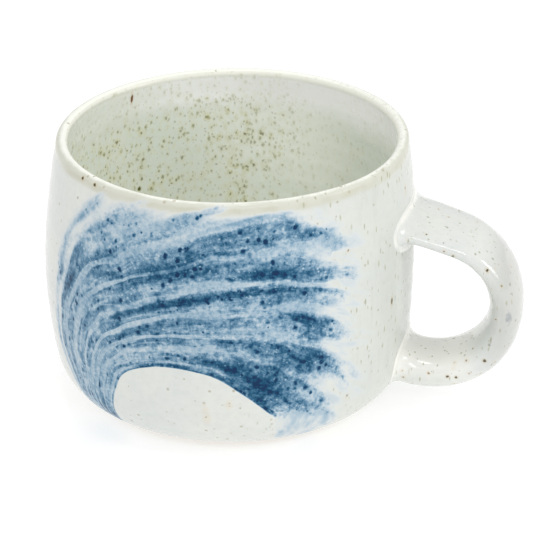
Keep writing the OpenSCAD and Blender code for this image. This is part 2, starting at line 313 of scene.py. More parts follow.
def brushwork(grid):
    """Attributes of the wall's points: place along and across the strokes, and how loaded the brush is."""
    guide_places = np.array([p for _, line in GUIDES for p in line], float)
    guide_flow = [(STEP_ALONG * k, BAND * rank) for rank, line in GUIDES for k in range(len(line))]
    stroke_at = spread_plate(guide_places, np.array(guide_flow, float))
    p = grid.reshape(-1, 3)
    x = UNROLL_R * ((round_axis(p)[1] - FRONT + math.pi) % TURN - math.pi)
    z = p[:, 2]
    near = (x > NEAR_LEFT) & (x < NEAR_RIGHT) & (z > 0)
    flow = np.tile([FAR, FAR], (len(p), 1))
    flow[near] = stroke_at(np.stack([x, z], -1)[near])
    load = np.zeros(len(p))
    for spots, way in ((LOADED, 1.0), (DRY, -1.0)):
        centres = stroke_at(np.array([spot[:2] for spot in spots], float))
        for (_, _, half_length, half_width, strength), centre in zip(spots, centres):
            d = ((flow - centre) / [SPOT_SCALE * half_length, SPOT_SCALE * half_width]) ** 2
            load += way * strength * np.exp(-d.sum(1))
    # how far inside the painted patch: from its right end, top and bottom
    right = np.where(near, PAINT_RIGHT - x - 9.0 * smooth(60, 72, z), NOT_PAINTED)
    top = np.minimum(PAINT_TOP - z, WELL_INSIDE)
    bottom = z - PAINT_BOTTOM - 9.0 * smooth(4, 13, x) + 3.0 * smooth(18, 30, x) + 2.5 * smooth(-28, -38, x)
    return {
        "strokes": np.stack([flow[:, 0], flow[:, 1], load], -1),
        "patch": np.stack([right, top, bottom], -1),
    }


# ------------------------ nodes
BUMP_DISTANCE = 0.0002  # metres
GLASS_IOR = 1.5


def srgb(r, g, b):
    return tuple(c / 3294.6 if c <= 10.31 else ((c / 255 + 0.055) / 1.055) ** 2.4 for c in (r, g, b))


def under_gloss(r, g, b):
    """The colour under a gloss that adds a little white to it."""
    return tuple(max(0.002, c * 1.02 - 0.012) for c in srgb(r, g, b))


class Nodes:
    """A small writer of shader nodes, which keeps a material's colour so far."""

    def __init__(self, name):
        self.material = bpy.data.materials.new(name)
        self.material.use_nodes = True
        self.tree = self.material.node_tree
        self.tree.nodes.clear()
        self.shader = self.tree.nodes.new("ShaderNodeBsdfPrincipled")
        out = self.tree.nodes.new("ShaderNodeOutputMaterial")
        self.tree.links.new(self.shader.outputs[0], out.inputs[0])
        self.colour = None

    def put(self, socket, value):
        if isinstance(value, bpy.types.NodeSocket):
            self.tree.links.new(value, socket)
        elif isinstance(value, tuple) and len(value) == 3 and len(socket.default_value) == 4:
            socket.default_value = (*value, 1)
        else:
            socket.default_value = value

    def node(self, kind, values=(), **settings):
        """A new node. values go into its first inputs, in their order."""
        n = self.tree.nodes.new(kind)
        for key, value in settings.items():
            setattr(n, key, value)
        for socket, value in zip(n.inputs, values):
            self.put(socket, value)
        return n

    def math(self, operation, *values):
        return self.node("ShaderNodeMath", values, operation=operation).outputs[0]

    def times(self, first, *others):
        for value in others:
            first = self.math("MULTIPLY", first, value)
        return first

    def add(self, part, amount, value):
        """The value, with an amount of the part added to it."""
        return self.math("MULTIPLY_ADD", part, amount, value)

    def sway(self, noise, amount, value):
        """The value, swayed up and down by a noise round 0.5."""
        return self.add(self.math("SUBTRACT", noise, 0.5), amount, value)

    def mix(self, share, a, b):
        """Colour from a to b. Either can be the three numbers of an sRGB colour, from 0 to 255."""
        n = self.node("ShaderNodeMix", data_type="RGBA")
        self.put(n.inputs[0], share)
        for number, tone in ((6, a), (7, b)):
            self.put(n.inputs[number], srgb(*tone) if isinstance(tone, tuple) else tone)
        return n.outputs[2]

    def lay(self, share, tone):
        """Puts a tone over the colour so far."""
        self.colour = self.mix(share, self.colour, tone)

    def step(self, value, low, high, to_low=0, to_high=1):
        """Smooth step from low to high, which may fall instead of rise."""
        values = (value, low, high, to_low, to_high)
        return self.node("ShaderNodeMapRange", values, interpolation_type="SMOOTHSTEP").outputs[0]

    def noise(self, place, scale, detail=2, roughness=0.5, distortion=0):
        n = self.node("ShaderNodeTexNoise")
        settings = {
            "Vector": place, "Scale": scale, "Detail": detail, "Roughness": roughness,
            "Distortion": distortion}
        for key, value in settings.items():
            self.put(n.inputs[key], value)
        return n.outputs["Fac"]

    def streaks(self, along, across, spread, seed, run, crowded, open_):
        """Noise drawn out along the strokes. It repeats slower across them where they crowd together."""
        far = self.times(along, run)
        a, b = (self.noise(self.join(far, self.times(across, rate), seed), 1, 2, 0.55)
                for rate in (crowded, open_))
        return self.add(self.math("SUBTRACT", b, a), spread, a)

    def nearest(self, place, spots):
        """Distance to the nearest of some spots (x, y, z, radius, share of its height), in radii."""
        best = None
        for x, y, z, radius, squeeze in spots:
            scaled = self.stretched(place, (1 / radius, 1 / radius, squeeze / radius))
            centre = (x / radius, y / radius, z * squeeze / radius)
            n = self.node("ShaderNodeVectorMath", (scaled, centre), operation="DISTANCE")
            d = n.outputs["Value"]
            best = d if best is None else self.math("MINIMUM", best, d)
        return best

    def ramp(self, value, stops):
        n = self.node("ShaderNodeValToRGB", (value,))
        elements = n.color_ramp.elements
        while len(elements) < len(stops):
            elements.new(0.5)
        for element, (place, colour) in zip(elements, stops):
            element.position = place
            element.color = (*colour, 1)
        return n.outputs[0]

    def place(self):
        """Object coordinates in millimetres."""
        return self.stretched(self.node("ShaderNodeTexCoord").outputs["Object"], (1 / MM, 1 / MM, 1 / MM))

    def stretched(self, place, factors, shift=(0, 0, 0)):
        values = (place, factors, shift)
        return self.node("ShaderNodeVectorMath", values, operation="MULTIPLY_ADD").outputs[0]

    def number(self, name):
        return self.node("ShaderNodeAttribute", attribute_name=name).outputs["Fac"]

    def three(self, name):
        """The three numbers of a vector attribute."""
        return self.parts(self.node("ShaderNodeAttribute", attribute_name=name).outputs["Vector"])

    def parts(self, place):
        return self.node("ShaderNodeSeparateXYZ", (place,)).outputs[0:3]

    def join(self, x, y, z):
        return self.node("ShaderNodeCombineXYZ", (x, y, z)).outputs[0]

    def wobble(self, place, scale, amount, centre):
        """Small sideways shifts, which make round specks uneven."""
        shifted = self.stretched(place, (1, 1, 1), (31, 7, 5))
        both = self.join(self.noise(place, scale), self.noise(shifted, scale), 0)
        return self.stretched(both, (amount, amount, amount), (-centre, -centre, 0))

    def specks(self, place, cell, radius, share, soft=0.35, wobble=None, squeeze=1, shift=(0, 0, 0)):
        """Round specks: their mask, a random number for each, and a mask of the halo round them.

        squeeze is the share of the height that counts: less than 1 draws them out upwards.
        """
        place = self.stretched(self.stretched(place, (1, 1, squeeze), shift), (1 / cell,) * 3)
        if wobble is not None:
            place = self.node("ShaderNodeVectorMath", (place, wobble), operation="ADD").outputs[0]
        n = self.node("ShaderNodeTexVoronoi")
        self.put(n.inputs["Vector"], place)
        self.put(n.inputs["Scale"], 1)
        pick, size, tint = self.node("ShaderNodeSeparateColor", (n.outputs["Color"],)).outputs
        r = self.step(size, 0, 1, 0.45 * radius / cell, 1.25 * radius / cell)
        ratio = self.math("DIVIDE", n.outputs["Distance"], r)
        chosen = self.step(pick, share, share - 0.02)
        mask = self.times(self.step(ratio, 1, soft), chosen)
        return mask, tint, self.times(self.step(ratio, 2.6, 0.6), chosen)

    def surface(self, roughness, height, strength, specular=0.5):
        """Connects the colour so far, a roughness and the height of a fine unevenness to the shader."""
        bump = self.node("ShaderNodeBump")
        for node, key, value in (
                (bump, "Strength", strength), (bump, "Distance", BUMP_DISTANCE), (bump, "Height", height),
                (self.shader, "Base Color", self.colour), (self.shader, "Roughness", roughness),
                (self.shader, "IOR", GLASS_IOR), (self.shader, "Specular IOR Level", specular),
                (self.shader, "Normal", bump.outputs[0])):
            self.put(node.inputs[key], value)
        return self.material


# ------------------------ white glaze
# The largest iron spots: place, radius, and how much of its height counts (less than 1 draws it out upwards)
COAT_SPOTS = (
    (-34.3, -34.2, 75.7, 0.55, 1), (-30.3, -37.9, 75.7, 0.5, 1),
    (47.5, -18.1, 38, 0.45, 0.35), (23.8, -45.5, 60, 0.5, 0.8),
)
HANDLE_SPOTS = (
    (63.3, -12.5, 50, 0.45, 0.8), (72.8, -12, 46.3, 0.5, 0.8), (76.9, -11.4, 41.6, 0.42, 1),
    (72.6, -11, 18.2, 0.5, 1), (62.4, -10.3, 12.2, 0.45, 1), (64.8, -10.3, 12.1, 0.42, 1),
    (68.9, -8.1, 20.4, 0.3, 1), (55.8, -11.2, 55.7, 0.3, 0.6), (62.6, 9.1, 54.3, 0.35, 1),
    (66, 6, 10, 0.45, 1), (58, 8, 12, 0.45, 1), (80.5, 6, 30, 0.4, 1),
)
HANDLE_SMUDGES = ((79.2, -11.2, 32, 1, 0.5), (70, 8, 50, 0.9, 0.8))
# Depths of the blue and their colours. The first is about the coat's own colour.
COBALT = (
    (0, (222, 225, 221)), (0.10, (211, 217, 218)), (0.26, (175, 194, 206)), (0.42, (136, 166, 187)),
    (0.58, (96, 134, 161)), (0.75, (56, 101, 131)), (0.88, (34, 80, 111)), (1, (10, 56, 90)),
)


def wall_tones_and_painted_light(g, place):
    """Darker towards the handle, a painted shade. The lip is cream with a painted highlight along its top,
    over a thin tan line where the glaze runs thin, which is partly painted shade in the groove under the lip.
    """
    x = g.parts(place)[0]
    # painted shade: the wall darkens towards the handle
    g.lay(g.step(x, 20, 46, 0, 0.5), (206, 210, 201))
    line = g.sway(g.noise(place, 0.25, 2), 1.6, g.number("from_lip"))
    g.lay(g.step(line, 6.4, 3.6, 0, 0.85), (213, 214, 200))
    # painted highlight along the top of the lip
    g.lay(g.step(line, 2.4, 1), (246, 247, 238))
    # a tan line where the glaze runs thin, and partly painted shade in the groove under the lip
    tan = g.times(g.step(line, 5.6, 4.2), g.step(line, 2.6, 3.6))
    g.lay(g.times(tan, g.step(g.noise(place, 0.12), 0.4, 0.68, 0.15, 0.65)), (200, 198, 180))


def handle_painted_light(g, place):
    """Painted light on the handle: pale in the crook of the lower root, lifting its shade; a painted shade on
    the outer bend; and painted highlights on the ridges at the wall.
    """
    x, _, z = g.parts(place)
    # painted light: the crook of the lower root made pale, where shade falls
    crook = g.times(g.step(z, 9, 17, 0, 0.9), g.step(z, 28, 20), g.step(x, 73, 63))
    g.lay(crook, (250, 249, 243))
    # painted shade on the outer bend
    g.lay(g.step(x, 70, 79, 0, 0.75), (191, 192, 186))
    # painted highlights on the ridges at the wall, in patches
    patchy = g.step(g.noise(place, 0.16), 0.35, 0.6, 0.4, 0.9)
    g.lay(g.times(g.number("ridge_highlight"), patchy), (248, 247, 239))


def iron_specks(g, place, wobble, painted):
    """Pale round specks, long ones where the glaze ran, and a few dark ones with a warm halo."""
    mask, tint, _ = g.specks(place, 2.6, 0.55, 0.55, 0.3, wobble)
    paler, darker = ((188, 182, 158), (158, 150, 122)) if painted else ((168, 170, 152), (124, 126, 104))
    g.lay(g.times(mask, 0.7), g.mix(tint, paler, darker))
    # long ones crowd towards the handle
    crowd = g.math("ADD", g.times(g.parts(place)[0], 0.05), g.noise(place, 0.06, 2))
    zone = g.step(crowd, 0.9, 2.4, 0.08, 1)
    if painted:
        drawn = g.stretched(place, (1, 1, 0.16), (7, 1, 2))
        run = g.step(g.noise(drawn, 0.55, 2, 0.5), 0.5, 0.72, 0, 0.28)
        g.lay(g.times(run, zone), (200, 202, 192))
    mask, tint, _ = g.specks(place, 1.3, 0.36, 0.75, 0.3, wobble, 0.3, (17, 3, 8))
    g.lay(g.times(mask, zone, 0.75), g.mix(tint, (184, 184, 152), (150, 148, 114)))
    # dark ones, sparse on the wall and closer on the handle
    cell, radius, share, squeeze = (6, 0.7, 0.22, 0.6) if painted else (3.6, 0.42, 0.5, 1)
    mask, tint, halo = g.specks(place, cell, radius, share, 0.35, wobble, squeeze, (5, 41, 2))
    g.lay(g.times(halo, 0.3), (222, 202, 168))
    g.lay(g.times(mask, 0.85), g.mix(tint, (128, 100, 50), (66, 56, 34)))


def largest_spots(g, place, painted):
    near = g.sway(g.noise(place, 1.6, 2), 1.6, g.nearest(place, COAT_SPOTS if painted else HANDLE_SPOTS))
    g.lay(g.step(near, 2.4, 0.6, 0, 0.45), (206, 190, 146))
    g.lay(g.step(near, 1.15, 0.45), (78, 68, 44))
    if not painted:
        smudge = g.sway(g.noise(place, 0.9, 3), 2.4, g.nearest(place, HANDLE_SMUDGES))
        g.lay(g.step(smudge, 1.3, 0.4, 0, 0.8), (158, 162, 164))


class Cobalt:
    """The painted fan: how deep the blue is, from the strokes' attributes and noise drawn out along them."""

    def __init__(self, g, place, wobble):
        self.g, self.place, self.wobble = g, place, wobble
        self.along, self.across, self.load = g.three("strokes")
        self.right, self.top, self.bottom = g.three("patch")
        self.lane = g.sway(g.noise(place, 0.07, 1), 3, self.across)
        # 0 where the strokes crowd together, and 1 where they fan out
        self.spread = g.step(self.along, 20, 52)
        self.broad = g.streaks(self.along, self.lane, self.spread, 3, 0.055, 0.09, 0.21)
        self.fine = g.streaks(self.along, self.lane, self.spread, 9, 0.12, 0.26, 0.55)
        self.hair = g.streaks(self.along, self.lane, self.spread, 5, 0.06, 0.2, 0.42)
        self.grain = g.noise(place, 0.75, 3, 0.68, 0.3)
        bent = self.drawn(0.03, 0.1, 7, 1)
        swing = g.sway(bent, 7, g.times(self.lane, 0.9))
        self.wave = g.math("SINE", swing)

    def drawn(self, along_rate, across_rate, seed, detail):
        """One noise drawn out along the strokes."""
        g = self.g
        place = g.join(g.times(self.along, along_rate), g.times(self.lane, across_rate), seed)
        return g.noise(place, 1, detail)

    def fanned(self, crowded, open_):
        """A number that goes from crowded to open_ as the strokes fan out."""
        return self.g.step(self.spread, 0, 1, crowded, open_)

    def strokes(self):
        """Depth of the strokes, with the pale lines left between the bristles and between the lanes."""
        g = self.g
        v = g.add(self.load, 0.6, self.fanned(0.56, 0.52))
        puddle = g.noise(self.place, 0.24, 3, 0.55)
        for part, amount in (
                (self.broad, self.fanned(0.45, 0.65)), (self.fine, 0.55),
                (self.grain, self.fanned(0.85, 1.15)), (puddle, 0.6)):
            v = g.sway(part, amount, v)
        gap = g.step(g.math("ABSOLUTE", g.math("SUBTRACT", self.hair, 0.5)), 0.05, 0)
        v = g.add(gap, self.fanned(-0.15, -0.08), v)
        fade = g.step(self.drawn(0.045, 0.2, 2, 2), 0.36, 0.6, 0.45, 1)
        pale = g.times(g.step(self.wave, 0.5, 0.96), fade)
        return g.add(pale, self.fanned(-0.5, -0.26), v)

    def drops_and_pits(self, v):
        """Drops of thicker colour in the darker lanes, and pin holes that stay pale."""
        g = self.g
        drop, _, _ = g.specks(self.place, 2, 0.8, 0.85, 0.25, self.wobble, 0.8, (2, 6, 4))
        drop = g.times(drop, g.step(self.wave, 0.6, -0.3, 0.3, 1), g.step(self.fine, 0.42, 0.54, 0.35, 1))
        v = g.add(drop, 0.58, v)
        pit, _, _ = g.specks(self.place, 1.3, 0.36, 0.7, 0.2, shift=(9, 1, 7))
        return g.add(pit, -0.32, v)

    def depth(self):
        g = self.g
        v = self.drops_and_pits(self.strokes())
        # the brush runs dry towards the right, and paint gathers along the reserve there
        v = g.math("SUBTRACT", v, g.step(self.right, 15, 3, 0, 0.12))
        gathered = g.times(g.step(self.across, 3, 0.2), g.step(self.along, 18, 36))
        v = g.add(gathered, 0.2, v)
        # where the patch ends: crisp at the reserve, ragged and dry elsewhere
        both = g.math("SUBTRACT", g.math("ADD", self.fine, self.broad), 1)
        ragged = g.add(both, 13, g.step(self.wave, 1, -0.6, -5, 1.5))
        end = g.step(g.math("ADD", self.right, ragged), -7, 7)
        both = g.math("SUBTRACT", g.math("ADD", self.fine, self.hair), 1)
        over = g.step(g.add(both, 7, self.top), 0, 4.5)
        under = g.step(g.sway(self.grain, 6, self.bottom), -1, 3.5)
        beyond = g.math("ADD", g.math("SUBTRACT", 53, self.across), g.times(ragged, 0.5))
        outer = g.step(beyond, -3, 5)
        thin = g.sway(self.hair, 0.5, g.step(self.grain, 0.3, 0.7, 0.22, 0.4))
        v = g.times(g.math("MAXIMUM", v, thin), end, over, outer)
        # a thin haze runs on past the ends of the strokes
        past = g.step(g.add(ragged, 0.6, self.right), -13, 0)
        v = g.math("MAXIMUM", v, g.times(g.step(self.fine, 0.36, 0.64, 0.02, 0.16), past, over, outer))
        # and a pale wash runs down from them to the foot, on the right of the reserve
        runny = g.noise(g.stretched(self.place, (1, 1, 0.3)), 0.36, 2, 0.45)
        below, beside = g.step(self.bottom, -14, -5), g.step(self.right, 20, 17.5)
        wash = g.times(g.step(runny, 0.3, 0.68, 0.07, 0.32), end, outer, below, beside)
        held = g.times(under, g.step(self.across, -0.3, 0.2))
        return g.add(g.math("SUBTRACT", 1, held), wash, g.times(v, held))


def white_glaze(name, painted):
    """The glossy white. The wall's coat is painted, and the handle's is not."""
    g = Nodes(name)
    place = g.place()
    cloud = g.noise(place, 0.05, 3, 0.55)
    g.colour = g.mix(g.step(cloud, 0.35, 0.65), (219, 222, 219), (225, 227, 221))
    mottle = g.noise(place, 0.55, 4, 0.6)
    g.lay(g.step(mottle, 0.62, 0.3, 0, 0.25), (205, 210, 206))
    wobble = g.wobble(place, 0.9, 0.3, 0.15)
    if painted:
        wall_tones_and_painted_light(g, place)
    else:
        handle_painted_light(g, place)
    iron_specks(g, place, wobble, painted)
    largest_spots(g, place, painted)
    if painted:
        depth = Cobalt(g, place, wobble).depth()
        paint = g.ramp(depth, [(at, under_gloss(*colour)) for at, colour in COBALT])
        g.lay(g.step(depth, 0, 0.1), paint)
    peel = g.add(g.noise(place, 0.28, 2), 0.7, g.times(g.noise(place, 1.1, 2), 0.12))
    return g.surface(g.step(mottle, 0.2, 0.8, 0.08, 0.2), peel, 0.35, 0.16 if painted else 0.9)


# ------------------------ lining and clay
# The largest spots inside, as above, then the colours of their ring and core
LINING_SPOTS = (
    (((-33.8, 29.4, 72.8, 0.42, 0.24),), (216, 186, 140), (112, 62, 30)),
    (((-33, 33.7, 43, 0.6, 0.8), (-8, 46.8, 52, 0.5, 0.8)), (206, 206, 160), (100, 98, 56)),
)


def lining_tones_and_painted_light(g, place, lip):
    """Painted light across the middle, fading deep down; nearly white under the lip, where the outer glaze
    laps over and painted light adds to it; and a tan line on the lip with a painted highlight along its edge.
    """
    x = g.parts(place)[0]
    # painted light: paler across the middle of the inside, less so deep down
    paler = g.times(g.step(x, -30, 4), g.step(x, 34, 10), g.step(lip, 42, 22, 0.45, 1))
    g.lay(paler, (251, 253, 246))
    mottle = g.noise(place, 0.4, 4, 0.62)
    g.lay(g.step(mottle, 0.6, 0.3, 0, 0.25), (236, 242, 236))
    # nearly white under the lip: the outer glaze lapping over, with painted light on top
    edge_line = g.sway(g.noise(place, 0.11, 3), 7, lip)
    g.lay(g.times(g.step(edge_line, 14.5, 5.5), g.step(x, -42, -18, 0.3, 1)), (255, 255, 255))
    rim_line = g.sway(g.noise(place, 0.5, 2), 0.8, lip)
    g.lay(g.times(g.step(rim_line, 2, 1.2), 0.4), (196, 196, 170))
    # painted highlight along the top of the lip
    g.lay(g.step(rim_line, 1.3, 0.5), (240, 240, 230))
    return mottle


def lining_specks(g, place, lip):
    """Clusters of green-brown specks in three sizes, sparse under the lip and on the handle's side."""
    wobble = g.wobble(place, 1.4, 0.75, 0.37)
    sparse = g.times(g.step(g.parts(place)[0], -8, 20, 1, 0.25), g.step(lip, 3, 16, 0.3, 1))
    patches = g.times(g.step(g.noise(place, 0.08, 3, 0.6), 0.4, 0.52, 0.5, 1), sparse)
    mask, _, _ = g.specks(place, 1.1, 0.38, 0.9, 0.3, wobble, 0.7, (7, 5, 3))
    g.lay(g.times(mask, patches, 0.75), (176, 179, 152))
    mask, tint, halo = g.specks(place, 1.4, 0.52, 0.92, 0.25, wobble, 0.62, (3, 9, 1))
    g.lay(g.times(halo, patches, 0.4), (224, 222, 184))
    g.lay(g.times(mask, patches, 0.85), g.mix(tint, (172, 175, 138), (136, 139, 98)))
    mask, tint, halo = g.specks(place, 2.6, 0.6, 0.6, 0.25, wobble, 0.8, (23, 2, 11))
    g.lay(g.times(halo, patches, 0.4), (220, 214, 164))
    g.lay(g.times(mask, sparse, 0.9), g.mix(tint, (144, 146, 98), (106, 106, 66)))


def lining_glaze():
    """The glossy pale green inside."""
    g = Nodes("celadon_glaze")
    place = g.place()
    lip = g.number("from_lip")
    cloud = g.noise(place, 0.06, 3, 0.6)
    g.colour = g.mix(g.step(cloud, 0.3, 0.7), (227, 233, 225), (231, 234, 224))
    mottle = lining_tones_and_painted_light(g, place, lip)
    lining_specks(g, place, lip)
    for spots, ring, core in LINING_SPOTS:
        near = g.sway(g.noise(place, 1.6, 2), 0.9, g.nearest(place, spots))
        g.lay(g.step(near, 2.2, 0.6, 0, 0.5), ring)
        g.lay(g.step(near, 1.15, 0.55), core)
    return g.surface(g.step(mottle, 0.2, 0.8, 0.14, 0.3), g.noise(place, 0.4, 3), 0.4, 0.3)


def bare_clay(name):
    """Buff stoneware with pale grog and brown specks, and fine turning lines."""
    g = Nodes(name)
    place = g.place()
    cloud = g.noise(place, 0.09, 4, 0.6)
    g.colour = g.mix(g.step(cloud, 0.3, 0.7), (214, 203, 182), (198, 184, 158))
    grog = g.noise(place, 2.2, 3, 0.7)
    g.lay(g.step(grog, 0.62, 0.72, 0, 0.5), (232, 224, 206))
    mask, _, _ = g.specks(place, 1.6, 0.3, 0.4)
    g.lay(g.times(mask, 0.7), (120, 92, 58))
    lines = g.noise(g.stretched(place, (0.3, 0.3, 3)), 1, 2)
    height = g.math("ADD", g.noise(place, 2.5, 4, 0.7), lines)
    return g.surface(g.step(grog, 0.2, 0.8, 0.72, 0.9), height, 0.6)


# ------------------------ turned pieces
HIDDEN_FROM_LIP = 50.0  # what from_lip says on faces that lie against the clay
GROOVE_Z, GROOVE_DEPTH, GROOVE_WIDTH = 73.5, 0.2, 1.1
FLOOR_SPIRAL, FLOOR_SPIRAL_PITCH, FLOOR_DISH = 0.15, 5.5, 0.1
RIPPLE, RIPPLE_PITCH = 0.03, 7.5
BASE_SPIRAL, BASE_SPIRAL_PITCH = 0.1, 4.0
RECESS_ROWS, RECESS_INSET = 24, 1.2


def glazed_face():
    """The face of both coats, from the foot over the lip to the middle of the floor, as worked by hand.

    Returns its grid, the row where the coats meet, and each row's distance from there.
    """
    face = Profile()
    outside(face, GLAZE, coat_start, (36, 48, 60, 19))
    meet_row = len(face.points) - 1
    outer_ways = np.array(face.ways[:-1])
    inside(face, GLAZE, (8, 44, 30, 36, 34))
    points = np.array(face.points)
    length = np.concatenate([[0], np.cumsum(np.linalg.norm(np.diff(points, axis=0), axis=1))])
    from_lip = np.abs(length - length[meet_row])
    # a shallow groove under the lip
    groove = GROOVE_DEPTH * np.exp(-((points[:meet_row, 1:] - GROOVE_Z) / GROOVE_WIDTH) ** 2)
    points[:meet_row] -= outer_ways * groove
    grid = turn(points)
    # a spiral left by the fingers in the floor
    r, bearing = round_axis(grid)
    within = (np.arange(len(points)) > meet_row)[:, None]
    spiral = FLOOR_SPIRAL * np.sin(TURN * r / FLOOR_SPIRAL_PITCH - bearing) * smooth(0, 4, r)
    grid[..., 2] += smooth(34, 24, r) * within * (spiral - FLOOR_DISH * smooth(26, 0, r))
    # and throwing rings on the wall inside
    ripple = RIPPLE * np.sin(TURN * grid[..., 2] / RIPPLE_PITCH - bearing + 1.0)
    ripple = ripple * smooth(20, 34, r) * within * smooth(0, 8, from_lip)[:, None]
    grid[..., 0] += ripple * np.cos(bearing)
    grid[..., 1] += ripple * np.sin(bearing)
    return by_hand(grid), meet_row, from_lip


def clay_side():
    """The side of both coats that lies against the clay, and the row where they meet."""
    back = Profile()
    outside(back, 0.0, coat_start - GLAZE / CORNER_R, (10, 12, 14, 6))
    meet_row = len(back.points) - 1
    inside(back, 0.0, (3, 12, 9, 10, 6))
    return by_hand(turn(back.points)), meet_row


def coat_edge():
    """The rounded lower edge of the outer coat, from the clay to the face."""
    points = []
    for degrees in range(10, 90, 16):
        t = math.radians(degrees)
        a = coat_start - GLAZE / CORNER_R * math.cos(t)
        out = np.array([math.cos(a), math.sin(a)])
        points.append(np.array(corner_c) + (CORNER_R + GLAZE * math.sin(t)) * out)
    return by_hand(turn(points))


def make_coats():
    face, meet, from_lip = glazed_face()
    back, back_meet = clay_side()
    edge = coat_edge()
    face_n, back_n = grid_normals(face), -grid_normals(back)
    edge_n = grid_normals(np.concatenate([back[:1], edge, face[:1]]))[1:-1]

    # outer coat: its lower edge, its face up to the meeting line, and its back
    grids = [edge, face[:meet + 1], back[:back_meet + 1][::-1]]
    normals = [edge_n, face_n[:meet + 1], back_n[:back_meet + 1][::-1]]
    attributes = brushwork(np.concatenate(grids))
    hidden = np.full(back_meet + 1, HIDDEN_FROM_LIP)
    rows = np.concatenate([np.full(len(edge), from_lip[0]), from_lip[:meet + 1], hidden])
    attributes["from_lip"] = np.repeat(rows, COLUMNS)
    coat = build("outer_coat", grids, normals, loop=True, attributes=attributes)
    finish_piece(coat, white_glaze("white_glaze_brushed", True), "white_glaze", "outer_glaze", "brushwork")

    # lining: its back from the middle of the floor to the meeting line, and its face the same way back
    rear, rear_n = back[back_meet:][::-1], back_n[back_meet:][::-1]
    rows = np.concatenate([np.full(len(rear), HIDDEN_FROM_LIP), from_lip[meet:]])
    attributes = {"from_lip": np.repeat(rows, COLUMNS)}
    lining = build("lining", [rear, face[meet:]], [rear_n, face_n[meet:]], attributes=attributes)
    finish_piece(lining, lining_glaze(), "celadon_glaze", "liner_glaze")


def underside():
    """Profile of the base: the recess with turning lines, and the foot ring with rounded edges."""
    under = Profile([FLOOR_MIDDLE_R, FOOT_RECESS])
    foot_in = FOOT_R - FOOT_W
    recess_r = foot_in - RECESS_INSET
    under.line((recess_r, FOOT_RECESS), RECESS_ROWS)
    under.arc((recess_r, FOOT_RECESS - FOOT_FILLET), FOOT_FILLET, math.pi / 2, 0.15, 8)
    under.line((foot_in, FOOT_EDGE), 2)
    under.arc((foot_in + FOOT_EDGE, FOOT_EDGE), FOOT_EDGE, math.pi, 1.5 * math.pi, 8)
    under.line((FOOT_R - FOOT_EDGE, 0), 6)
    under.arc((FOOT_R - FOOT_EDGE, FOOT_EDGE), FOOT_EDGE, 1.5 * math.pi, TURN, 8)
    under.line((FOOT_R, FOOT_H - 0.25), 2)
    return under.points


def make_body(clay):
    """The clay body: its underside, the outside under the coat, and the inside under the lining."""
    skin = Profile()
    outside(skin, 0.0, math.radians(-88), (20, 12, 14, 8))
    inside(skin, 0.0, (4, 12, 9, 10, 8))
    grid = by_hand(turn(underside() + skin.points))
    r, bearing = round_axis(grid)
    recess = smooth(27.5, 24, r) * (np.arange(len(grid)) < RECESS_ROWS + 2)[:, None]
    spiral = np.sin(TURN * r / BASE_SPIRAL_PITCH + bearing) * smooth(0, 3, r)
    grid[..., 2] += recess * BASE_SPIRAL * spiral
    body = build("mug_body", [grid], [grid_normals(grid)])
    finish_piece(body, clay, "stoneware_clay", "body")


# ------------------------ handle
STRAP_START = (BELLY_R - 5.0, 56.0, math.radians(-12))  # out, up and heading of the strap's middle line
RUNS = ((140.0, math.radians(8)), (20.0, math.radians(122)), (22.5, math.radians(52)))  # its arcs
STRAP_W, STRAP_T = (27.6, 19.3), (5.8, 11.8)  # width and thickness, each at the top and at the bottom
SQUARENESS = 2.35
AROUND = 128
STRAP_LENGTH = sum(r * a for r, a in RUNS)
ROOT_ROWS, STRAP_ROWS = 26, 149
BEAD_AT = 0.16  # where on the flare the raised line is
UPPER_BEAD, LOWER_BEAD = 0.32, 0.26  # its heights


def strap_middle(s):
    """Places [out, up, heading] of the strap's middle at distances s, which may run past both ends."""
    out, up, heading = (np.full(s.shape, v) for v in STRAP_START)
    straight = np.minimum(s, 0)
    out, up = out + straight * np.cos(heading), up + straight * np.sin(heading)
    left = np.maximum(s, 0)
    for radius, angle in RUNS:
        a = np.clip(left / radius, 0, angle)
        out = out + radius * (np.sin(heading) - np.sin(heading - a))
        up = up + radius * (np.cos(heading - a) - np.cos(heading))
        heading = heading - a
        left = left - a * radius
    return out + left * np.cos(heading), up + left * np.sin(heading), heading


def section():
    """Points of the unit superellipse, evenly spread round the strap's middle section."""
    t = np.linspace(0, TURN, 8001)
    up = np.sign(np.cos(t)) * np.abs(np.cos(t)) ** (2 / SQUARENESS)
    side = np.sign(np.sin(t)) * np.abs(np.sin(t)) ** (2 / SQUARENESS)
    run = np.concatenate([[0], np.cumsum(np.hypot(np.diff(up) * 4.5, np.diff(side) * 11.5))])
    at = np.arange(AROUND) / AROUND * run[-1]
    return np.interp(at, run, up), np.interp(at, run, side)


SECTION_UP, SECTION_SIDE = section()


def strap_points(s):
    """Points of the strap's surface at distances s, of shape (rows, AROUND)."""
    out, up, heading = strap_middle(s)
    t = np.clip(s / STRAP_LENGTH, 0, 1)
    half_w = (STRAP_W[0] + (STRAP_W[1] - STRAP_W[0]) * t) / 2 * (1 + 0.012 * np.sin(s / 7.0 + 1.0))
    half_t = (STRAP_T[0] + (STRAP_T[1] - STRAP_T[0]) * t) / 2 * (1 + 0.02 * np.sin(s / 9.0 + 2.0))
    lift = SECTION_UP * half_t * (1 - 0.05 * np.abs(SECTION_SIDE) ** 2)
    side = SECTION_SIDE * half_w + 0.15 * np.sin(s / 17.0)
    return np.stack([out - lift * np.sin(heading), side, up + lift * np.cos(heading)], -1)


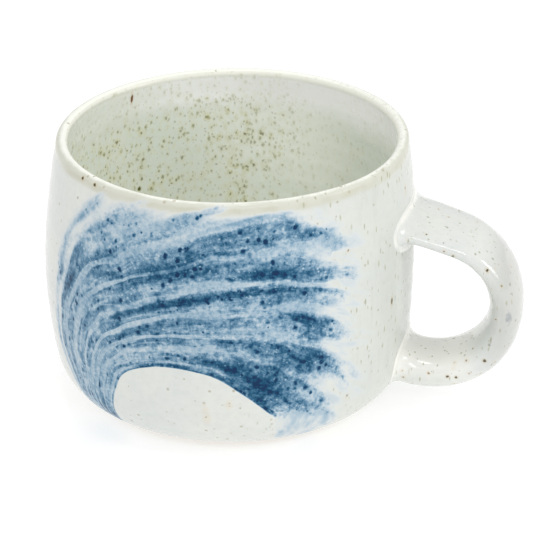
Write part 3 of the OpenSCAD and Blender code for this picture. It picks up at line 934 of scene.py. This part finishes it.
def meets_wall(low, high, way):
    """Distances along the strap, one for each line of its surface, where it meets the wall."""
    low, high = np.full((1, AROUND), low), np.full((1, AROUND), high)
    for _ in range(40):
        s = (low + high) / 2
        p = strap_points(s)
        within = (np.hypot(p[..., 0], p[..., 1]) < wall_radius(p[..., 2])) == (way > 0)
        low, high = np.where(within, s, low), np.where(within, high, s)
    return (low + high) / 2


def onto_wall(p, sink=0.0):
    scale = (wall_radius(p[..., 2]) - sink) / np.hypot(p[..., 0], p[..., 1])
    return np.stack([p[..., 0] * scale, p[..., 1] * scale, p[..., 2]], -1)


def flare_rows():
    """Places of the flare's rows, from 0 at the wall to 1 on the strap, closer together at the wall."""
    return np.linspace(0, 1, ROOT_ROWS + 1) ** 1.3


def root(meet, way, reach_strap, reach_wall, bead):
    """Flare from the wall to the strap: rows of points from the wall outward."""
    corner = strap_points(meet)
    tip = strap_points(meet + way * reach_strap)
    around = np.roll(corner, -1, 1) - np.roll(corner, 1, 1)
    along = (strap_points(meet + way * 0.5) - corner) * way
    out = unit(np.cross(around, along))
    out *= np.sign((out * (corner - corner.mean(1, keepdims=True))).sum(-1).mean())
    slope = (wall_radius(corner[..., 2] + 0.1) - wall_radius(corner[..., 2] - 0.1)) / 0.2
    wall_n = unit(np.stack([
        corner[..., 0], corner[..., 1], -slope * np.hypot(corner[..., 0], corner[..., 1])], -1))
    side = unit(out - (out * wall_n).sum(-1, keepdims=True) * wall_n)
    foot = onto_wall(corner + side * reach_wall[..., None])
    corner = onto_wall(corner)
    t = flare_rows()[:, None, None]
    flare = (1 - t) ** 2 * foot + 2 * t * (1 - t) * corner + t ** 2 * tip
    facing = unit(wall_n * (1 - t) + out * t)
    flare = flare + facing * bead * np.exp(-((t - BEAD_AT) / 0.11) ** 2) * (1 - np.exp(-(t / 0.05) ** 2))
    buried = onto_wall(corner + side * (reach_wall + 0.35)[..., None], 0.12)
    return np.concatenate([buried, onto_wall(foot, 0.004), flare[1:]])


def strap_surface():
    """The handle's whole surface from wall to wall, with a flare at each end."""
    upper_meet = meets_wall(-2.0, 14.0, 1)
    lower_meet = meets_wall(STRAP_LENGTH - 12.0, STRAP_LENGTH + 9.0, -1)
    top_side = SECTION_UP[None]
    upper_reach = 4.4 + 2.2 * top_side ** 2
    under_reach = 3.8 - 1.4 * top_side
    upper_root = root(upper_meet, 1, upper_reach, np.full_like(top_side, 3.3), UPPER_BEAD)
    lower_root = root(lower_meet, -1, under_reach, 3.1 - 1.0 * top_side, LOWER_BEAD)
    k = np.linspace(0, 1, STRAP_ROWS + 2)[1:-1, None]
    middle = strap_points((upper_meet + upper_reach) * (1 - k) + (lower_meet - under_reach) * k)
    return by_hand(np.concatenate([upper_root, middle, lower_root[::-1]]))


def way_out(grid):
    n = grid_normals(grid)
    return n if ((grid - grid.mean(1, keepdims=True)) * n).sum(-1).mean() > 0 else -n


def make_handle(clay, slip):
    """The handle's coat, and under it the strap and its two joints."""
    outer = strap_surface()
    outer_n = way_out(outer)
    # columns the way round that makes the faces point out
    order = -1 if (grid_normals(outer) * outer_n).sum(-1).mean() < 0 else 1
    inner = outer - outer_n * GLAZE * 0.98
    # how much painted highlight lies along the ridges at the wall: full at the upper root's bead, half at the
    # lower's, none elsewhere
    ridge_highlight_end = np.concatenate([[0.0], np.exp(-((flare_rows() - BEAD_AT) / 0.17) ** 2)])
    plain = np.zeros(len(outer) - 2 * len(ridge_highlight_end))
    ridge_highlight = np.concatenate([ridge_highlight_end, plain, 0.5 * ridge_highlight_end[::-1], np.zeros(len(outer))])
    grids = [outer[:, ::order], inner[::-1, ::order]]
    normals = [outer_n[:, ::order], -outer_n[::-1, ::order]]
    coat = build("handle_coat", grids, normals, loop=True, attributes={"ridge_highlight": np.repeat(ridge_highlight, AROUND)})
    finish_piece(coat, white_glaze("white_glaze", False), "white_glaze", "handle_glaze")

    core = outer - outer_n * GLAZE
    end_rows = ROOT_ROWS + 2
    for name, rows, material, slot, node in (
            ("upper_joint", core[1:end_rows + 1], slip, "joint_slip", "upper_handle_joint"),
            ("strap", core[end_rows:-end_rows:3], clay, "stoneware_clay", "handle"),
            ("lower_joint", core[-end_rows - 1:-1], slip, "joint_slip", "lower_handle_joint")):
        piece = build(name, [rows[:, ::order]], [way_out(rows)[:, ::order]])
        finish_piece(piece, material, slot, node)


# ------------------------ floor, light and camera
FLOOR_HALF, FLOOR_LEVEL = 2.0, -0.0001  # metres
AMBIENT = 0.7
# Name, azimuth and elevation in degrees as the camera's are counted, distance and size in metres, and watts
LIGHTS = (
    ("window", 22, 36, 1.2, (0.6, 0.15), 1.8),
    ("side_window", 84, 26, 1.2, (0.3, 0.42), 2.2),
    ("front", -25, 48, 1.2, (0.4, 0.4), 0.3),
    ("top", 0, 82, 1.1, (0.3, 0.3), 1.9),
    ("back", -150, 58, 1.1, (0.2, 0.2), 0.7),
)
LIGHTS_AIM = Vector((0, 0, 0.04))
# The camera looks down at the mug from the front, a little to the handle's side of the brushwork
AZIMUTH, ELEVATION, DISTANCE, LENS, SENSOR = math.radians(9.3), math.radians(25.29), 1.0, 234.33, 36.0
CAMERA_AIM, AIM_RIGHT, AIM_DOWN = Vector((0, 0, 0.039)), 0.01203, 0.00472


def way_from_mug(azimuth, elevation):
    """The way from the mug to a camera or light. Azimuth 0 is on the -Y side, and 90 is on the +X side."""
    level = math.cos(elevation)
    return Vector((math.sin(azimuth) * level, -math.cos(azimuth) * level, math.sin(elevation)))


def make_floor():
    mesh = bpy.data.meshes.new("floor")
    corners = [(FLOOR_HALF * x, FLOOR_HALF * y, FLOOR_LEVEL) for x, y in ((-1, -1), (1, -1), (1, 1), (-1, 1))]
    mesh.from_pydata(corners, [], [(0, 1, 2, 3)])
    floor = bpy.data.objects.new("floor", mesh)
    bpy.context.scene.collection.objects.link(floor)
    f = Nodes("floor")
    for key, value in (
            ("Base Color", (0.5, 0.5, 0.5)), ("Roughness", 0.6),
            ("Emission Color", (1.0, 1.0, 1.0)), ("Emission Strength", 0.58)):
        f.put(f.shader.inputs[key], value)
    mesh.materials.append(f.material)


def make_world():
    world = bpy.data.worlds.new("studio")
    world.use_nodes = True
    background = world.node_tree.nodes["Background"]
    background.inputs["Color"].default_value = (1.0, 1.0, 1.0, 1.0)
    background.inputs["Strength"].default_value = AMBIENT
    bpy.context.scene.world = world


def softbox(name, azimuth, elevation, distance, size, power):
    """An area light aimed at the mug."""
    light = bpy.data.lights.new(name, "AREA")
    light.shape = "RECTANGLE"
    light.size, light.size_y = size
    light.energy = power
    obj = bpy.data.objects.new(name, light)
    bpy.context.scene.collection.objects.link(obj)
    away = way_from_mug(math.radians(azimuth), math.radians(elevation))
    obj.location = LIGHTS_AIM + away * distance
    obj.rotation_mode = "QUATERNION"
    obj.rotation_quaternion = (-away).to_track_quat("-Z", "Y")


def make_camera():
    away = way_from_mug(AZIMUTH, ELEVATION)
    right = Vector((math.cos(AZIMUTH), math.sin(AZIMUTH), 0))
    up = right.cross(-away)
    aim = CAMERA_AIM + AIM_RIGHT * right - AIM_DOWN * up
    camera = bpy.data.objects.new("camera", bpy.data.cameras.new("camera"))
    camera.data.lens = LENS
    camera.data.sensor_width = SENSOR
    camera.data.clip_start, camera.data.clip_end = 0.05, 20.0
    axes = Matrix((right, up, away)).transposed()
    camera.matrix_world = Matrix.Translation(aim + DISTANCE * away) @ axes.to_4x4()
    bpy.context.scene.collection.objects.link(camera)
    bpy.context.scene.camera = camera


stoneware = bare_clay("stoneware_clay")
make_coats()
make_body(stoneware)
make_handle(stoneware, bare_clay("joint_slip"))
make_floor()
make_world()
for settings in LIGHTS:
    softbox(*settings)
make_camera()
bpy.context.scene.view_settings.view_transform = "Standard"
